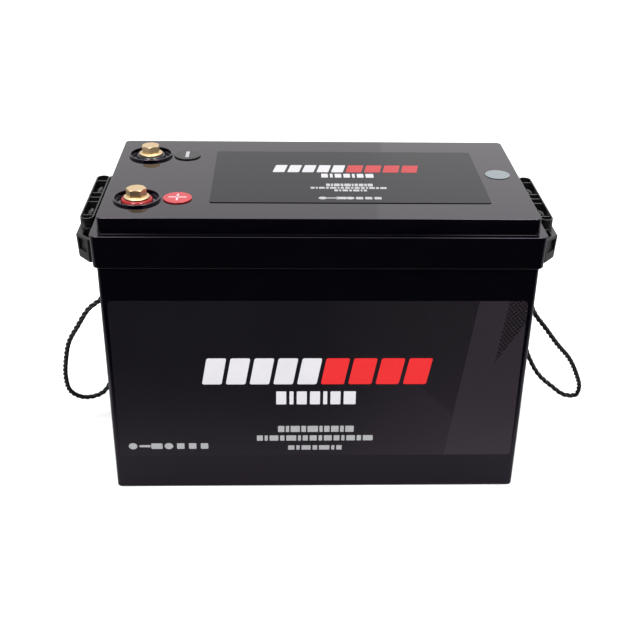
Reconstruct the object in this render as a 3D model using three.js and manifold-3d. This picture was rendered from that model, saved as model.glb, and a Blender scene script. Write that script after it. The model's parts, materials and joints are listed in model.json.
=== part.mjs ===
// A 24 V lithium deep cycle battery of the 345 x 190 x 245 mm box size, in millimetres.
// X runs along the box, Y across it (the labelled front looks towards -Y) and Z up.
// The origin is the middle of the underside. Everything is one assembly: the moulded box
// and lid, the terminals, the rope handles, and the cell pack with its electronics inside.
import * as THREE from "three";
import { mergeVertices } from "three/addons/utils/BufferGeometryUtils.js";
import Module from "manifold-3d";

const wasm = await Module();
wasm.setup();

// Driving dimensions of the box.
const LENGTH = 345;
const WIDTH = 190;
const HEIGHT = 245;

// Clearance kept between neighbouring pieces.
const GAP = 0.3;

// Case and lid.
const CASE = {
  inset: 3.3,
  draft: 1.35,
  corner: 4,
  wall: 3.2,
  floor: 4,
  rim: 226,
  baseRound: 1.5,
};
const LID = {
  ledge: 232.2,
  tierInset: 5.5,
  skirtBottom: 205.5,
  skirtDraft: 0.8,
  skirtRound: 1.2,
  skirtCorner: 5.5,
  edgeRound: 0.8,
  shoulder: 228.6,
  wall: 3.5,
  roof: 241.5,
};

// Terminals: a rimmed dish, sunk a little into the lid, round each one.
const TERMINAL = { x: -140.8, y: 50.7, thread: 5 };
const DISH = { radius: 18.5, rim: 246.9, wall: 1.5, floor: 243.4 };
const DISC = { x: -109.6, y: 49.6, radius: 11.2, thickness: 1, mark: 0.4 };

// Labels and seal sticker: thin printed films.
const FILM = { thickness: 0.35, gap: 0.15 };
const FRONT_LABEL = { halfLength: 163.1, low: 32.3, high: 177.4, corner: 3 };
const TOP_LABEL = { x: 24.7, y: 1.1, halfLength: 109.3, halfWidth: 59.2, corner: 2 };
const SEAL_STICKER = { x: 149.7, y: 6, radius: 10.2 };

// Handle brackets: a block with an open, ribbed cup on top that holds the rope's knots.
const BRACKET = {
  back: 172.8,
  face: 188.5,
  low: 199.5,
  shelf: 219.4,
  halfLength: 59,
  chamferX: 10.5,
  chamferY: 11,
  draft: 1,
  edge: 0.6,
  foot: 169.6,
  footTop: 204.8,
};
const CUP = {
  x: 181.8,
  halfWidth: 5.5,
  halfStraight: 43,
  rim: 227.5,
  wall: 1.2,
  floor: 211,
  rib: 1.2,
};
const CUP_RIBS = [-38, -10, 0, 10, 38];
// A window in each cut-back end wall of the bracket, and a slot in its shelf beside the lid.
const WINDOW = { along: 10.5, height: 10, middle: 212.2, depth: 2.2 };
const SLOT = { outer: 183, inner: 177.4, straight: 60.5, end: 66.5, depth: 13.5 };

// Rope handles. Each rope leaves its bracket at x = exit, y = +-spread; it bends at the
// exit, and again at the end of a short root where it passes the bracket's edge.
const ROPE = {
  radius: 2,
  sides: 8,
  exit: 178,
  spread: 24,
  exitZ: 197,
  root: 13.5,
  hole: 2.6,
};
const KNOT = { x: 181.8, z: 221.5, radius: 3.2, length: 8.4 };
const LEFT_ROUTE = [
  [178, -24, 183.5],
  [176.6, -25, 172],
  [174.8, -27, 160],
  [178.2, -29, 149],
  [190.4, -29.6, 138.3],
  [201.1, -28.5, 121.5],
  [210.5, -25, 104.4],
  [215.8, -20, 85.1],
  [219.2, -14, 62.9],
  [217.7, -6, 42.6],
  [207.3, 2, 31.6],
  [193.4, 10, 31.2],
  [186.6, 16, 38],
  [183, 20, 52],
  [180.7, 22.5, 78],
  [179.2, 23.4, 108],
  [178.4, 24, 140],
  [178.1, 24, 165],
  [178, 24, 183.5],
];
const RIGHT_ROUTE = [
  [178, -24, 183.5],
  [177.2, -25, 171],
  [177.4, -27, 158],
  [180.4, -28.5, 146],
  [186.2, -29.5, 133.5],
  [196.2, -29, 120.5],
  [209.7, -26, 102.2],
  [224, -19, 84],
  [234.6, -12, 64],
  [241.4, -4.8, 45.5],
  [240.2, -1, 34.8],
  [231, 4, 32.2],
  [219.5, 9.5, 38.6],
  [209.4, 17, 45.3],
  [201.5, 21.5, 57],
  [193.5, 23.5, 76],
  [187.5, 24, 96],
  [183, 24, 119],
  [180, 24, 143],
  [178.5, 24, 165],
  [178, 24, 183.5],
];
const ROUTE_STEPS = 40;

// Cell pack: eight prismatic cells in a row along X.
const CELL = {
  count: 8,
  thickness: 36,
  width: 130,
  bottom: 4.3,
  top: 203.6,
  corner: 2,
  terminalY: 46,
  terminalRadius: 8.5,
  terminalHeight: 2.5,
  ventRadius: 9,
  ventHeight: 0.6,
};
const SEPARATOR = 0.8;
const PITCH = CELL.thickness + SEPARATOR + 2 * GAP;
const PACK_HALF = (CELL.count * CELL.thickness + (CELL.count - 1) * (SEPARATOR + 2 * GAP)) / 2;
const END_PLATE = { thickness: 3, halfWidth: 66, top: 198 };
const BAND = { thickness: 0.8, low: 92, high: 112 };
const BUSBAR = { thickness: 2, halfWidth: 9, reach: 9, arch: 2.5 };
const BUSBAR_Z = CELL.top + CELL.terminalHeight + GAP;
const BOARD_Z = BUSBAR_Z + BUSBAR.thickness + BUSBAR.arch + GAP;
const COVER_BOARD = { halfLength: 112, halfWidth: 62, thickness: 1.5 };
const HEAT_SINK = { x: 30, halfLength: 62, halfWidth: 38, plate: 2.5, fin: 2, fins: 7 };
const BMS = { halfLength: 58, halfWidth: 34, thickness: 1.6 };
const CABLE = { radius: 3.5, sides: 8, steps: 14 };
const LUG = { halfWidth: 8, thickness: 2 };

const TURN = Math.PI * 2;
const ROUND_STEPS = 4;
const MERGE_MM = 1e-4;

// --- Building blocks -------------------------------------------------------------------

// A closed three.js geometry as a solid that can be joined and cut.
function solid(geometry) {
  const bare = geometry.index ? geometry.toNonIndexed() : geometry.clone();
  bare.deleteAttribute("normal");
  bare.deleteAttribute("uv");
  const merged = mergeVertices(bare, MERGE_MM);
  const mesh = new wasm.Mesh({
    numProp: 3,
    vertProperties: merged.attributes.position.array,
    triVerts: new Uint32Array(merged.index.array),
  });
  return new wasm.Manifold(mesh);
}

// A solid as a named mesh in its material.
function piece(name, shape, material) {
  const made = shape.getMesh();
  const geometry = new THREE.BufferGeometry();
  geometry.setAttribute("position", new THREE.BufferAttribute(made.vertProperties, 3));
  geometry.setIndex(new THREE.BufferAttribute(made.triVerts, 1));
  geometry.computeVertexNormals();
  const mesh = new THREE.Mesh(geometry, material);
  mesh.name = name;
  return mesh;
}

function paint(color, roughness, metalness) {
  return new THREE.MeshStandardMaterial({ color, roughness, metalness });
}

function join(...shapes) {
  return shapes.reduce((whole, next) => whole.add(next));
}

// A box from its lowest to its highest corner.
function box(low, high) {
  const size = high.map((value, axis) => value - low[axis]);
  const middle = high.map((value, axis) => (value + low[axis]) / 2);
  return solid(new THREE.BoxGeometry(...size).translate(...middle));
}

// The outline of a rectangle with round corners, as a function of how far it is drawn in.
function roundedRectangle(halfX, halfY, radius, steps = ROUND_STEPS) {
  const quarters = [[1, 1], [-1, 1], [-1, -1], [1, -1]];
  return (inset) => {
    const corner = radius - inset * 0.5;
    return quarters.flatMap(([signX, signY], quarter) =>
      Array.from({ length: steps + 1 }, (_, step) => {
        const angle = ((quarter + step / steps) * TURN) / 4;
        return new THREE.Vector2(
          signX * (halfX - inset - corner) + corner * Math.cos(angle),
          signY * (halfY - inset - corner) + corner * Math.sin(angle),
        );
      }),
    );
  };
}

// A solid through level outlines, each { z, inset }, from the lowest to the highest.
function loft(outline, levels) {
  const rings = levels.map(({ inset }) => outline(inset));
  const count = rings[0].length;
  const positions = rings.flatMap((ring, level) => ring.flatMap((p) => [p.x, p.y, levels[level].z]));
  const index = [];
  for (let level = 0; level + 1 < rings.length; level += 1) {
    for (let i = 0; i < count; i += 1) {
      const a = level * count + i;
      const b = level * count + ((i + 1) % count);
      index.push(a, b, b + count, a, b + count, a + count);
    }
  }
  const top = (rings.length - 1) * count;
  for (const [a, b, c] of THREE.ShapeUtils.triangulateShape(rings[0], [])) {
    index.push(a, c, b, top + a, top + b, top + c);
  }
  const geometry = new THREE.BufferGeometry();
  geometry.setAttribute("position", new THREE.Float32BufferAttribute(positions, 3));
  geometry.setIndex(index);
  return solid(geometry);
}

// Levels of a quarter round along an edge: under the solid when side is -1, on top when 1.
function quarterRound(z, radius, base, side, steps = 3) {
  const levels = Array.from({ length: steps + 1 }, (_, step) => {
    const angle = ((step / steps) * TURN) / 4;
    return {
      z: z - side * radius * (1 - Math.cos(angle)),
      inset: base + radius * (1 - Math.sin(angle)),
    };
  });
  return side < 0 ? levels : levels.reverse();
}

// A turned solid on the Z axis from [radius, z] points, anticlockwise from the axis.
function turned(profile, segments = 24) {
  const points = profile.map(([radius, z]) => new THREE.Vector2(radius, z));
  return solid(new THREE.LatheGeometry(points, segments).rotateX(TURN / 4));
}

// A polygon given as [x, z] points, extruded from y = low to y = high.
function extrudedAcross(points, low, high) {
  const shape = new THREE.Shape(points.map(([x, z]) => new THREE.Vector2(x, z)));
  const geometry = new THREE.ExtrudeGeometry(shape, { depth: high - low, bevelEnabled: false });
  return solid(geometry.rotateX(TURN / 4).translate(0, high, 0));
}

// A polygon or outline in plan, extruded from z = low to z = high.
function extrudedUp(points, low, high) {
  const geometry = new THREE.ExtrudeGeometry(new THREE.Shape(points), {
    depth: high - low,
    bevelEnabled: false,
  });
  return solid(geometry.translate(0, 0, low));
}

function circle(radius, sides) {
  return Array.from({ length: sides }, (_, i) => {
    const angle = (i / sides) * TURN;
    return new THREE.Vector2(radius * Math.cos(angle), radius * Math.sin(angle));
  });
}

// A round tube that follows a smooth curve through the points.
function tube(points, radius, sides, steps) {
  const path = new THREE.CatmullRomCurve3(points.map((p) => new THREE.Vector3(...p)));
  const shape = new THREE.Shape(circle(radius, sides));
  return solid(new THREE.ExtrudeGeometry(shape, { extrudePath: path, steps, bevelEnabled: false }));
}

function ball(radius, at) {
  return solid(new THREE.SphereGeometry(radius, ROPE.sides, 6).translate(...at));
}

// --- Materials -------------------------------------------------------------------------

const GLOSS_BLACK = paint(0x0c0c0e, 0.18, 0);
const BRACKET_BLACK = paint(0x17181a, 0.45, 0);
const ROPE_BLACK = paint(0x0f0f10, 0.9, 0);
const LABEL_BLACK = paint(0x111114, 0.35, 0);
const SILVER_FILM = paint(0x9fb0bd, 0.3, 0.6);
const RED_PLASTIC = paint(0xb01218, 0.25, 0);
const BLACK_PLASTIC = paint(0x101012, 0.25, 0);
const GREY_DISC = paint(0x3b3b40, 0.4, 0);
const BRASS = paint(0xcfa356, 0.28, 1);
const SPRING_STEEL = paint(0x8c8c8c, 0.4, 1);
const COPPER = paint(0xb87333, 0.35, 1);
const CELL_BLUE = paint(0x1f5fa8, 0.4, 0);
const GLASS_BOARD = paint(0xd8dcae, 0.6, 0);
const END_BOARD = paint(0x2c3136, 0.7, 0);
const STEEL_BAND = paint(0xa9abad, 0.35, 1);
const FOAM_GASKET = paint(0x1d1d1f, 0.95, 0);
const CIRCUIT_GREEN = paint(0x14532d, 0.5, 0);
const ALUMINIUM = paint(0xb9bcc0, 0.4, 1);
const RED_CABLE = paint(0xa3161a, 0.6, 0);
const BLACK_CABLE = paint(0x19191b, 0.6, 0);
const HARNESS_WHITE = paint(0xd9d9d4, 0.6, 0);

// --- Case and lid ----------------------------------------------------------------------

const caseHalfX = LENGTH / 2 - CASE.inset;
const caseHalfY = WIDTH / 2 - CASE.inset;

// How far the case's walls are drawn in at a height: the box widens upwards, for the mould.
function caseInset(z) {
  return (CASE.draft * (CASE.rim - z)) / CASE.rim;
}

function makeCase() {
  const outside = loft(roundedRectangle(caseHalfX, caseHalfY, CASE.corner), [
    ...quarterRound(0, CASE.baseRound, caseInset(0), -1),
    { z: CASE.rim, inset: 0 },
  ]);
  const insideOutline = roundedRectangle(
    caseHalfX - CASE.wall,
    caseHalfY - CASE.wall,
    CASE.corner - 1,
  );
  const inside = loft(insideOutline, [
    { z: CASE.floor, inset: caseInset(CASE.floor) },
    { z: CASE.rim + 1, inset: 0 },
  ]);
  return outside.subtract(inside);
}

// The rubber seal that lies on the case's rim, under the lid's shoulder.
function makeSeal() {
  const outline = roundedRectangle(caseHalfX - GAP, caseHalfY - GAP, CASE.corner);
  const low = CASE.rim + GAP;
  const high = LID.shoulder - GAP;
  const outside = loft(outline, [{ z: low, inset: 0 }, { z: high, inset: 0 }]);
  const width = CASE.wall - 2 * GAP;
  const inside = loft(outline, [{ z: low - 1, inset: width }, { z: high + 1, inset: width }]);
  return outside.subtract(inside);
}

// The collar that the rim of a terminal's dish is made of, standing on the lid's roof.
function makeCollar() {
  const low = LID.roof + 0.5;
  return turned(
    [
      [0, low],
      [DISH.radius, low],
      [DISH.radius, DISH.rim - 0.4],
      [DISH.radius - 0.4, DISH.rim],
      [0, DISH.rim],
    ],
    40,
  );
}

// What the collar loses: the dish, and the bore for the terminal's insert.
function makeDishSpace() {
  const inside = DISH.radius - DISH.wall;
  return turned(
    [
      [0, LID.roof - 1],
      [BORE, LID.roof - 1],
      [BORE, DISH.floor],
      [inside, DISH.floor],
      [inside + 0.6, DISH.rim + 0.1],
      [0, DISH.rim + 0.1],
    ],
    40,
  );
}

function makeLid() {
  const halfX = LENGTH / 2;
  const halfY = WIDTH / 2;
  const skirt = loft(roundedRectangle(halfX, halfY, LID.skirtCorner), [
    ...quarterRound(LID.skirtBottom, LID.skirtRound, LID.skirtDraft, -1),
    ...quarterRound(LID.ledge, LID.edgeRound, 0, 1),
  ]);
  const tierOutline = roundedRectangle(halfX - LID.tierInset, halfY - LID.tierInset, CASE.corner);
  const tier = loft(tierOutline, [
    { z: LID.shoulder, inset: 0 },
    ...quarterRound(HEIGHT, LID.edgeRound, 0, 1),
  ]);
  const skirtSpace = loft(roundedRectangle(caseHalfX + 2 * GAP, caseHalfY + 2 * GAP, CASE.corner), [
    { z: LID.skirtBottom - 1, inset: 0 },
    { z: LID.shoulder, inset: 0 },
  ]);
  const roofSpace = loft(tierOutline, [
    { z: LID.shoulder - 1, inset: LID.wall },
    { z: LID.roof, inset: LID.wall },
  ]);
  const collar = makeCollar();
  const dishSpace = makeDishSpace();
  let lid = join(skirt, tier);
  for (const y of [-TERMINAL.y, TERMINAL.y]) {
    lid = lid.add(collar.translate([TERMINAL.x, y, 0]));
    lid = lid.subtract(dishSpace.translate([TERMINAL.x, y, 0]));
  }
  return lid.subtract(skirtSpace).subtract(roofSpace);
}

// --- Terminals -------------------------------------------------------------------------

const INSERT = { shank: 7.5, head: 9.5, low: 229, top: 244.6, bottomOfHead: 243.7 };
const BORE = INSERT.shank + GAP;
const BOLT = {
  seat: 246.7,
  flange: 9.9,
  flangeRim: 0.9,
  cone: 0.8,
  acrossFlats: 13.7,
  head: 7.4,
  shank: 4.8,
  length: 15,
};
const SPRING_WASHER = { inner: 5.3, outer: 9, low: INSERT.top + GAP, high: BOLT.seat - GAP };

// The insulating ring that frames the threaded insert.
function makeTerminalRing() {
  const low = DISH.floor + GAP;
  const inner = INSERT.head + GAP;
  const top = BOLT.seat - GAP;
  return turned(
    [
      [inner, low],
      [12.4, low],
      [12.2, low + 1.1],
      [11.6, low + 2.1],
      [10.8, top],
      [inner, top],
      [inner, low],
    ],
    28,
  );
}

// The brass insert: a headed bush with a blind threaded hole from above.
function makeInsert() {
  const hole = TERMINAL.thread + 0.1;
  return turned([
    [0, INSERT.low],
    [INSERT.shank, INSERT.low],
    [INSERT.shank, INSERT.bottomOfHead],
    [INSERT.head, INSERT.bottomOfHead],
    [INSERT.head, INSERT.top],
    [hole, INSERT.top],
    [hole, INSERT.low + 2],
    [0, INSERT.low + 2],
  ]);
}

// A split spring washer under the bolt's flange.
function makeSpringWasher() {
  const { inner, outer, low, high } = SPRING_WASHER;
  const ring = turned([[inner, low], [outer, low], [outer, high], [inner, high], [inner, low]]);
  const split = box([0, -0.5, low - 1], [outer + 1, 0.5, high + 1]);
  return ring.subtract(split);
}

// A flange bolt: hexagon head with a cut-back crown on a round cone flange, and a shank.
// The head is turned from the way that puts two flats along X.
function makeBolt(headTurn) {
  const coneTop = BOLT.seat + BOLT.flangeRim + BOLT.cone;
  const top = BOLT.seat + BOLT.head;
  const flat = BOLT.acrossFlats / 2;
  const corner = flat / Math.cos(TURN / 12);
  const flange = turned(
    [
      [0, BOLT.seat],
      [BOLT.flange, BOLT.seat],
      [BOLT.flange, BOLT.seat + BOLT.flangeRim],
      [flat + 0.9, coneTop],
      [0, coneTop],
    ],
    32,
  );
  const hexagon = solid(
    new THREE.CylinderGeometry(corner, corner, BOLT.head, 6)
      .rotateX(TURN / 4)
      .rotateZ(TURN / 12 + headTurn)
      .translate(0, 0, BOLT.seat + BOLT.head / 2),
  );
  const crown = turned(
    [
      [0, BOLT.seat - 1],
      [corner + 1, BOLT.seat - 1],
      [corner + 1, top - 1],
      [flat - 0.15, top],
      [0, top],
    ],
    24,
  );
  const end = BOLT.seat - BOLT.length;
  const shank = turned(
    [
      [0, end],
      [BOLT.shank - 0.8, end],
      [BOLT.shank, end + 0.8],
      [BOLT.shank, BOLT.seat + 0.5],
      [0, BOLT.seat + 0.5],
    ],
    16,
  );
  return join(flange, hexagon.intersect(crown), shank);
}

// A round polarity disc with its raised mark, given as boxes of half sizes [x, y].
function makeDisc(bars) {
  const low = HEIGHT + FILM.gap;
  const high = low + DISC.thickness;
  const round = 0.4;
  const plate = turned(
    [
      [0, low],
      [DISC.radius, low],
      [DISC.radius, high - round],
      [DISC.radius - round, high],
      [0, high],
    ],
    32,
  );
  const marks = bars.map(([x, y]) => box([-x, -y, high - 0.2], [x, y, high + DISC.mark]));
  return join(plate, ...marks);
}

// --- Labels ----------------------------------------------------------------------------

function makeFilm(outline) {
  return extrudedUp(outline, 0, FILM.thickness);
}

function frontLabel() {
  const halfHeight = (FRONT_LABEL.high - FRONT_LABEL.low) / 2;
  const middle = (FRONT_LABEL.high + FRONT_LABEL.low) / 2;
  const outline = roundedRectangle(FRONT_LABEL.halfLength, halfHeight, FRONT_LABEL.corner, 3)(0);
  const mesh = piece("front_label", makeFilm(outline), LABEL_BLACK);
  mesh.rotation.x = TURN / 4 + Math.atan(CASE.draft / CASE.rim);
  mesh.position.set(0, -(caseHalfY - caseInset(middle)) - FILM.gap, middle);
  return mesh;
}

function topLabel() {
  const outline = roundedRectangle(TOP_LABEL.halfLength, TOP_LABEL.halfWidth, TOP_LABEL.corner, 3)(0);
  const mesh = piece("top_label", makeFilm(outline), LABEL_BLACK);
  mesh.position.set(TOP_LABEL.x, TOP_LABEL.y, HEIGHT + FILM.gap);
  return mesh;
}

function sealSticker() {
  const mesh = piece("seal_sticker", makeFilm(circle(SEAL_STICKER.radius, 32)), SILVER_FILM);
  mesh.position.set(SEAL_STICKER.x, SEAL_STICKER.y, HEIGHT + FILM.gap);
  return mesh;
}

// --- Handle brackets and ropes, built for the right-hand end ---------------------------

// The bracket's plan outline: its ends are cut back from the face to the lid's skirt.
function bracketOutline(inset) {
  const { back, face, halfLength, chamferX, chamferY } = BRACKET;
  const end = halfLength + chamferY;
  const shoulder = face - chamferX;
  const slide = inset * 0.5;
  return [
    [back, -end + slide],
    [shoulder, -end + slide],
    [face - inset, -halfLength + slide],
    [face - inset, halfLength - slide],
    [shoulder, end - slide],
    [back, end - slide],
  ].map(([x, y]) => new THREE.Vector2(x, y));
}

function pill(halfWidth, halfStraight) {
  const steps = 8;
  return [1, -1].flatMap((side) =>
    Array.from({ length: steps + 1 }, (_, step) => {
      const angle = (step / steps) * (TURN / 2) + (side < 0 ? TURN / 2 : 0);
      return new THREE.Vector2(
        CUP.x + halfWidth * Math.cos(angle),
        side * halfStraight + halfWidth * Math.sin(angle),
      );
    }),
  );
}

// The slanted stretch that the rope takes through the block, from the exit up to its knot.
function slant(side, radius, from, to) {
  const at = (z) => {
    const share = (z - BRACKET.low) / (KNOT.z - BRACKET.low);
    return [ROPE.exit + share * (KNOT.x - ROPE.exit), side * ROPE.spread, z];
  };
  return tube([at(from), at(to)], radius, ROPE.sides, 1);
}

function makeBracket() {
  const { back, face, low, shelf, draft, edge, foot, footTop, halfLength } = BRACKET;
  const body = loft(bracketOutline, [
    { z: low, inset: draft + edge },
    { z: low + edge, inset: draft },
    { z: shelf - edge, inset: 0 },
    { z: shelf, inset: edge },
  ]);
  const cup = extrudedUp(pill(CUP.halfWidth, CUP.halfStraight), shelf - 1, CUP.rim);
  const hook = box([foot, -halfLength, low], [back + 1, halfLength, footTop]);
  let hollow = extrudedUp(
    pill(CUP.halfWidth - CUP.wall, CUP.halfStraight),
    CUP.floor,
    CUP.rim + 1,
  );
  for (const y of CUP_RIBS) {
    const rib = box(
      [CUP.x - CUP.halfWidth, y - CUP.rib / 2, CUP.floor - 1],
      [CUP.x + CUP.halfWidth, y + CUP.rib / 2, CUP.rim - 1],
    );
    hollow = hollow.subtract(rib);
  }
  let bracket = join(body, cup, hook).subtract(hollow);
  for (const side of [-1, 1]) {
    bracket = bracket.subtract(bracketSlot(side)).subtract(bracketWindow(side));
    bracket = bracket.subtract(slant(side, ROPE.hole, BRACKET.low - 3, KNOT.z));
  }
  // The back stays clear of the lid's skirt above the hook.
  return bracket.subtract(box([foot - 1, -face, footTop], [back, face, CUP.rim]));
}

// The deep slot in the shelf, from the cup's end to the cut-back end wall.
function bracketSlot(side) {
  const near = CUP.halfStraight + CUP.halfWidth + 0.8;
  const inside = BRACKET.back + 0.6;
  const outline = [
    [inside, near],
    [SLOT.outer, near],
    [SLOT.outer, SLOT.straight],
    [SLOT.inner, SLOT.end],
    [inside, SLOT.end],
  ].map(([x, y]) => new THREE.Vector2(x, side * y));
  if (side < 0) outline.reverse();
  return extrudedUp(outline, BRACKET.shelf - SLOT.depth, BRACKET.shelf + 1);
}

// The window in the cut-back end wall.
function bracketWindow(side) {
  const { face, halfLength, chamferX, chamferY } = BRACKET;
  const turn = Math.atan2(chamferY, -chamferX * side);
  const window = new THREE.BoxGeometry(WINDOW.along, 2 * WINDOW.depth, WINDOW.height);
  return solid(
    window
      .rotateZ(turn)
      .translate(face - chamferX / 2, side * (halfLength + chamferY / 2), WINDOW.middle),
  );
}

// A rope's end: the overhand knot in the cup, with the stretch down through the hole.
function makeKnot(side) {
  const bulge = solid(
    new THREE.CapsuleGeometry(KNOT.radius, KNOT.length - 2 * KNOT.radius, 3, 10)
      .translate(KNOT.x, side * ROPE.spread, KNOT.z),
  );
  return slant(side, ROPE.radius, BRACKET.low, KNOT.z).add(bulge);
}

// The rope's root: the short stretch from the exit to its second bend.
function makeRoot(side) {
  const y = side * ROPE.spread;
  const top = [ROPE.exit, y, ROPE.exitZ];
  const bottom = [ROPE.exit, y, ROPE.exitZ - ROPE.root + ROPE.radius + GAP];
  return tube([top, bottom], ROPE.radius, ROPE.sides, 1).add(ball(ROPE.radius, top));
}

function makeLoop(route) {
  const ends = [route[0], route[route.length - 1]].map((at) => ball(ROPE.radius, at));
  return join(tube(route, ROPE.radius, ROPE.sides, ROUTE_STEPS), ...ends);
}

// The left end mirrors the right one, with a route of its own for the rope's loop.
function handle(name, mirrored, route) {
  const place = (shape) => (mirrored ? shape.mirror([1, 0, 0]) : shape);
  const parts = [
    [`${name}_handle_bracket`, makeBracket(), BRACKET_BLACK],
    [`${name}_rope_loop`, makeLoop(route), ROPE_BLACK],
    [`${name}_rope_knot_front`, makeKnot(-1), ROPE_BLACK],
    [`${name}_rope_knot_back`, makeKnot(1), ROPE_BLACK],
    [`${name}_rope_root_front`, makeRoot(-1), ROPE_BLACK],
    [`${name}_rope_root_back`, makeRoot(1), ROPE_BLACK],
  ];
  return parts.map(([part, shape, material]) => piece(part, place(shape), material));
}

// --- Cell pack -------------------------------------------------------------------------

function cellX(number) {
  return (number - (CELL.count + 1) / 2) * PITCH;
}

function makeCell() {
  const outline = roundedRectangle(CELL.thickness / 2, CELL.width / 2, CELL.corner, 1);
  const body = loft(outline, [{ z: CELL.bottom, inset: 0 }, { z: CELL.top, inset: 0 }]);
  const post = (radius, height) => {
    const top = CELL.top + height;
    const low = CELL.top - 1;
    return turned([[0, low], [radius, low], [radius, top], [0, top]], 10);
  };
  const terminal = post(CELL.terminalRadius, CELL.terminalHeight);
  return join(
    body,
    terminal.translate([0, CELL.terminalY, 0]),
    terminal.translate([0, -CELL.terminalY, 0]),
    post(CELL.ventRadius, CELL.ventHeight),
  );
}

function makeSeparator() {
  return box(
    [-SEPARATOR / 2, -CELL.width / 2 + 1, CELL.bottom],
    [SEPARATOR / 2, CELL.width / 2 - 1, CELL.top],
  );
}

// A copper link with an arch in the middle, so that it gives when the cells swell.
function makeBusbar() {
  const { thickness, halfWidth, reach, arch } = BUSBAR;
  const end = PITCH / 2 + reach;
  const low = BUSBAR_Z;
  const points = [
    [-end, low],
    [-6, low],
    [-3, low + arch],
    [3, low + arch],
    [6, low],
    [end, low],
    [end, low + thickness],
    [7, low + thickness],
    [4, low + arch + thickness],
    [-4, low + arch + thickness],
    [-7, low + thickness],
    [-end, low + thickness],
  ];
  return extrudedAcross(points, -halfWidth, halfWidth);
}

function makeEndPlate() {
  return box(
    [0, -END_PLATE.halfWidth, CELL.bottom],
    [END_PLATE.thickness, END_PLATE.halfWidth, END_PLATE.top],
  );
}

// The steel band that holds the cells and end plates together.
function makeBand() {
  const halfX = PACK_HALF + END_PLATE.thickness + 2 * GAP;
  const halfY = END_PLATE.halfWidth + GAP;
  const outline = (grow) => roundedRectangle(halfX + grow, halfY + grow, GAP + grow, 2)(0);
  const outside = extrudedUp(outline(BAND.thickness), BAND.low, BAND.high);
  return outside.subtract(extrudedUp(outline(0), BAND.low - 1, BAND.high + 1));
}

function makeCoverBoard() {
  const { halfLength, halfWidth, thickness } = COVER_BOARD;
  return box([-halfLength, -halfWidth, BOARD_Z], [halfLength, halfWidth, BOARD_Z + thickness]);
}

const SINK_Z = BOARD_Z + COVER_BOARD.thickness + GAP;
const BMS_Z = SINK_Z + HEAT_SINK.plate + HEAT_SINK.fin + GAP;

// The battery manager's heat sink: a plate on fins that run along the box.
function makeHeatSink() {
  const { x, halfLength, halfWidth, plate, fin, fins } = HEAT_SINK;
  const step = (2 * halfWidth - fin) / (fins - 1);
  const rows = Array.from({ length: fins }, (_, i) => {
    const y = -halfWidth + i * step;
    return box([x - halfLength, y, SINK_Z], [x + halfLength, y + fin, SINK_Z + fin + 1]);
  });
  const top = SINK_Z + fin + plate;
  return join(box([x - halfLength, -halfWidth, SINK_Z + fin], [x + halfLength, halfWidth, top]), ...rows);
}

// The manager's circuit board: rows of power transistors, shunt, capacitors and sockets.
function makeManagerBoard() {
  const { halfLength, halfWidth, thickness } = BMS;
  const x = HEAT_SINK.x;
  const top = BMS_Z + thickness;
  const board = box([x - halfLength, -halfWidth, BMS_Z], [x + halfLength, halfWidth, top]);
  const part = (atX, atY, sizeX, sizeY, height) =>
    box(
      [x + atX - sizeX / 2, atY - sizeY / 2, top - 0.5],
      [x + atX + sizeX / 2, atY + sizeY / 2, top + height],
    );
  const transistors = Array.from({ length: 8 }, (_, i) => [-1, 1].map((side) => {
    return part(-36 + i * 10, side * 14, 7, 9, 2.4);
  })).flat();
  return join(
    board,
    ...transistors,
    part(0, 0, 60, 6, 1.5),
    part(-46, 0, 8, 24, 6),
    part(47, -22, 10, 12, 4),
    part(47, 22, 10, 12, 4),
  );
}

// --- Leads -----------------------------------------------------------------------------

// The formed copper strap from the first cell up to the positive insert.
function makePositiveLink() {
  const x = cellX(1);
  const low = BUSBAR_Z;
  const high = INSERT.low - GAP;
  const riser = TERMINAL.x - 12;
  const inner = riser + LUG.thickness;
  const points = [
    [riser, low],
    [x + LUG.halfWidth, low],
    [x + LUG.halfWidth, low + LUG.thickness],
    [inner, low + LUG.thickness],
    [inner, high - LUG.thickness],
    [TERMINAL.x + LUG.halfWidth, high - LUG.thickness],
    [TERMINAL.x + LUG.halfWidth, high],
    [riser, high],
  ];
  return extrudedAcross(points, -TERMINAL.y - 1, -TERMINAL.y + 12);
}

function lug(x, y, z, halfLength) {
  return box(
    [x - halfLength, y - LUG.halfWidth, z],
    [x + halfLength, y + LUG.halfWidth, z + LUG.thickness],
  );
}

// The lead from the last cell to the battery manager.
function makePackLead() {
  const start = cellX(CELL.count);
  const deck = BMS_Z + BMS.thickness + 4 + GAP;
  const x = HEAT_SINK.x + 47;
  const route = [
    [start, -CELL.terminalY, BUSBAR_Z + 1],
    [start, -CELL.terminalY, BUSBAR_Z + 8],
    [start - 3, -CELL.terminalY + 4, deck + 1],
    [start - 14, -34, deck + 4],
    [x + 22, -24, deck + 4],
    [x + 6, -22, deck + 4],
  ];
  return join(
    tube(route, CABLE.radius, CABLE.sides, CABLE.steps),
    lug(start, -CELL.terminalY, BUSBAR_Z, 9),
    box([x - 4, -26, deck], [x + 8, -18, deck + 5]),
  );
}

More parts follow.
